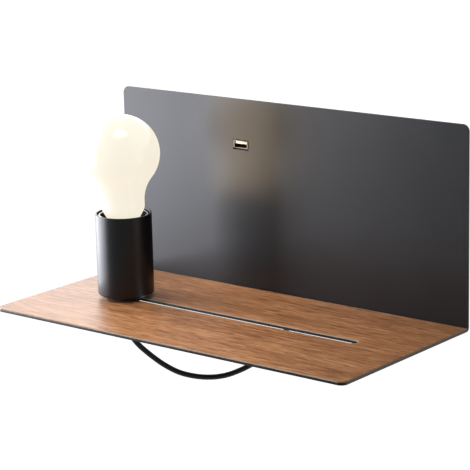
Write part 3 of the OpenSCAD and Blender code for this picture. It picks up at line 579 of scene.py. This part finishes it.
def make_world():
    """A white surround that lights the lamp gently and looks dimmer in front."""
    world = bpy.data.worlds.new("white_studio")
    bpy.context.scene.world = world
    world.use_nodes = True
    tree = world.node_tree
    background = tree.nodes["Background"]
    background.inputs["Color"].default_value = srgb("#ffffff")
    glow = backdrop_glow(tree, northing(tree, "Generated"), reach=0.3, unseen=WORLD_FILL, seen=1)
    tree.links.new(glow, background.inputs["Strength"])


def make_floor():
    """A wide pale floor below the lamp, which takes its shadow."""
    made, tree, shader = surface("pale_floor", "#f4f4f2", 0.9)
    glow = backdrop_glow(tree, northing(tree, "Object"), reach=1, unseen=0, seen=FLOOR_SEEN)
    tree.links.new(glow, shader.inputs["Emission Strength"])
    shader.inputs["Emission Color"].default_value = srgb("#ffffff")
    bm = bmesh.new()
    bmesh.ops.create_grid(bm, x_segments=1, y_segments=1, size=FLOOR_HALF)
    piece("floor", moved(bm, Vector((0, 0, FLOOR_HEIGHT))), made)


def make_softbox(name, place, target, size, brightness, colour="#ffffff", spread=180):
    """A soft lamp turned to its target; its brightness is that of its lit face.

    A spread under 180 degrees is a grid in front of it.
    """
    data = bpy.data.lights.new(name, "AREA")
    data.shape = "RECTANGLE"
    data.size, data.size_y = size
    data.energy = math.pi * size[0] * size[1] * brightness
    data.color = srgb(colour)[:3]
    data.spread = math.radians(spread)
    lamp = bpy.data.objects.new(name, data)
    bpy.context.scene.collection.objects.link(lamp)
    aim = (Vector(target) - Vector(place)).to_track_quat("-Z", "Y")
    lamp.matrix_world = Matrix.Translation(place) @ aim.to_matrix().to_4x4()
    lamp.visible_camera = False
    return lamp


def light_lamp(lit_bulb):
    """Soft light from the left, from behind and from above, and the lit bulb's glow on the plate."""
    make_softbox("left_softbox", place=(-0.63, -0.28, 0.25), target=(-0.06, -0.1, 0.25),
                 size=(0.75, 0.9), brightness=4.8, colour="#f4f6ff", spread=120)
    make_softbox("rear_softbox", place=(-0.73, 0.6, 0.18), target=(-0.12, -0.15, 0),
                 size=(1, 0.8), brightness=2.7)
    make_softbox("top_softbox", place=(0.01, -0.22, 0.36), target=(0.005, -0.17, -0.06),
                 size=(0.2, 0.2), brightness=1.3, spread=64)
    glow = make_softbox("bulb_glow", place=(-0.079, -0.078, 0.05), target=(-0.027, -0.026, 0.056),
                        size=(0.05, 0.095), brightness=3.1, colour="#ffdcae")
    glow.parent = lit_bulb


# ---- The lamp ----

def dress():
    """Gives every piece its shape and finish, and returns the bulb."""
    powder = powder_coat()
    lacquer = cup_lacquer()
    felt = grey_felt()
    # Metals: bluish bright zinc, warm brass, soft grey nickel, rosy copper and pale aluminium.
    zinc = plated("zinc_plated_steel", "#a9adb2", "#c9ccd0", 0.3, 2.5)
    brass = plated("stamped_brass", "#b58c3f", "#d3ab5c", 0.25, 2)
    nickel = plated("nickel_plated_steel", "#7f7a72", "#989289", 0.34, 1.5)
    copper = plated("copper_flashed_steel", "#9c6a44", "#bb8459", 0.35, 1.5)
    cap_metal = plated("rolled_aluminium", "#b4b5b8", "#d0d1d3", 0.28, 1.5)
    # Plastics and rubber: nylon has a waxy sheen, the casing a fine spark finish, rubber hardly any shine.
    black_nylon = moulded("moulded_black_nylon", "#131315", "#1a1a1d", 0.5)
    white_nylon = moulded("moulded_white_nylon", "#dcd9cf", "#e8e5dc", 0.45)
    natural_nylon = moulded("moulded_natural_nylon", "#cfc9b8", "#dcd7c8", 0.45)
    casing = moulded("moulded_polycarbonate", "#d5d5d0", "#e2e2dd", 0.4, 0.9)
    thermoset = moulded("pressed_pale_thermoset", "#d3cfc3", "#dedbd0", 0.3, 0.8)
    rubber = moulded("moulded_rubber", "#101011", "#171719", 0.6, 0.5)
    sheath = moulded("extruded_pvc_sheath", "#1d1d1f", "#252527", 0.4, 1.1)
    foam = moulded("foam_tape", "#85888c", "#9a9da1", 0.85, 0.7)
    # The rest: glossy green board, creamy ceramic, glassy black insulator and chalky yellow phosphor.
    board = moulded("printed_solder_mask", "#12482b", "#1a5c38", 0.3, 0.8)
    steatite = moulded("pressed_steatite", "#d6cfbe", "#e2dccd", 0.35, 0.4)
    vitrite = moulded("pressed_black_glass", "#0c0c0e", "#141417", 0.12, 1.2)
    phosphor = moulded("coated_phosphor", "#d9ab3f", "#ecc25c", 0.7, 0.3)
    # Extruded PVC on the cores: a soft satin in each core's colour.
    slate_pvc = moulded("extruded_slate_pvc", "#37456a", "#42527c", 0.4)
    insulation = {
        "live_lead": moulded("extruded_brown_pvc", "#5b3520", "#6b4028", 0.4),
        "neutral_lead": moulded("extruded_blue_pvc", "#27509a", "#3163b4", 0.4),
        "earth_lead": moulded("extruded_green_pvc", "#6f9a2a", "#8ab63a", 0.4),
        "driver_leads": slate_pvc,
        "holder_leads": slate_pvc,
        "usb_leads": moulded("extruded_red_pvc", "#7c2722", "#92302a", 0.4)}

    make_flex(sheath)
    make_cup(lacquer)
    # The skirt's black below its pale rim is painted shade.
    make_skirt(thermoset, black_nylon)
    make_usb_shell(nickel)
    make_veneer(oak(), oak_edge())
    lit_bulb = make_bulb(opal_glass())
    make_threads(cap_metal, brass)

    # How far each piece's sharp edges are rounded, in millimetres, and its finish.
    eased_pieces = {
        "shelf_frame": (0.35, powder), "rear_tray": (0.25, powder), "wall_bracket": (0.25, zinc),
        "glide_pad": (0.4, felt),
        "usb_tongue": (0.15, white_nylon), "usb_carrier": (0.25, black_nylon),
        "driver_case": (0.5, casing), "driver_lid": (0.3, casing), "terminal_block": (0.3, white_nylon),
        "flex_saddle": (0.5, black_nylon), "cable_grommet": (0.3, rubber),
        "side_screws": (0.2, lacquer), "ear_nuts": (0.2, zinc), "m4_nuts": (0.15, zinc),
        "m3_nuts": (0.12, zinc), "m4_studs": (0.2, copper), "m3_studs": (0.15, copper),
        "stem": (0.15, zinc), "stem_washer": (0.1, zinc), "stem_nut": (0.3, zinc),
        "holder_cap": (0.3, black_nylon), "holder_core": (0.3, steatite), "cord_grip": (0.5, black_nylon),
        "clamp_washer": (0.15, natural_nylon), "clamp_nut": (0.3, lacquer),
        "bulb_insulator": (0.3, vitrite), "bulb_tip": (0.4, cap_metal)}
    for node, (width, finish) in eased_pieces.items():
        eased(node, width, finish)

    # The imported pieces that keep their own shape.
    plain_pieces = {
        "usb_contacts": brass, "usb_board": board, "driver_board": board, "driver_pad": foam,
        "terminal_screws": brass, "earth_lug": zinc, "tray_flex": sheath, "stem_flex": sheath,
        "centre_contact": brass, "side_contact": brass, "grip_screw": zinc,
        "filament_mount": clear_glass(), "filament_wires": zinc, "led_filaments": phosphor, **insulation}
    for node, finish in plain_pieces.items():
        materials = frame["nodes"][node].data.materials
        materials.clear()
        materials.append(finish)
    return lit_bulb


make_camera()
bulb = dress()
make_world()
make_floor()
light_lamp(bulb)

bpy.context.scene.view_settings.view_transform = "Standard"
bpy.context.view_layer.update()
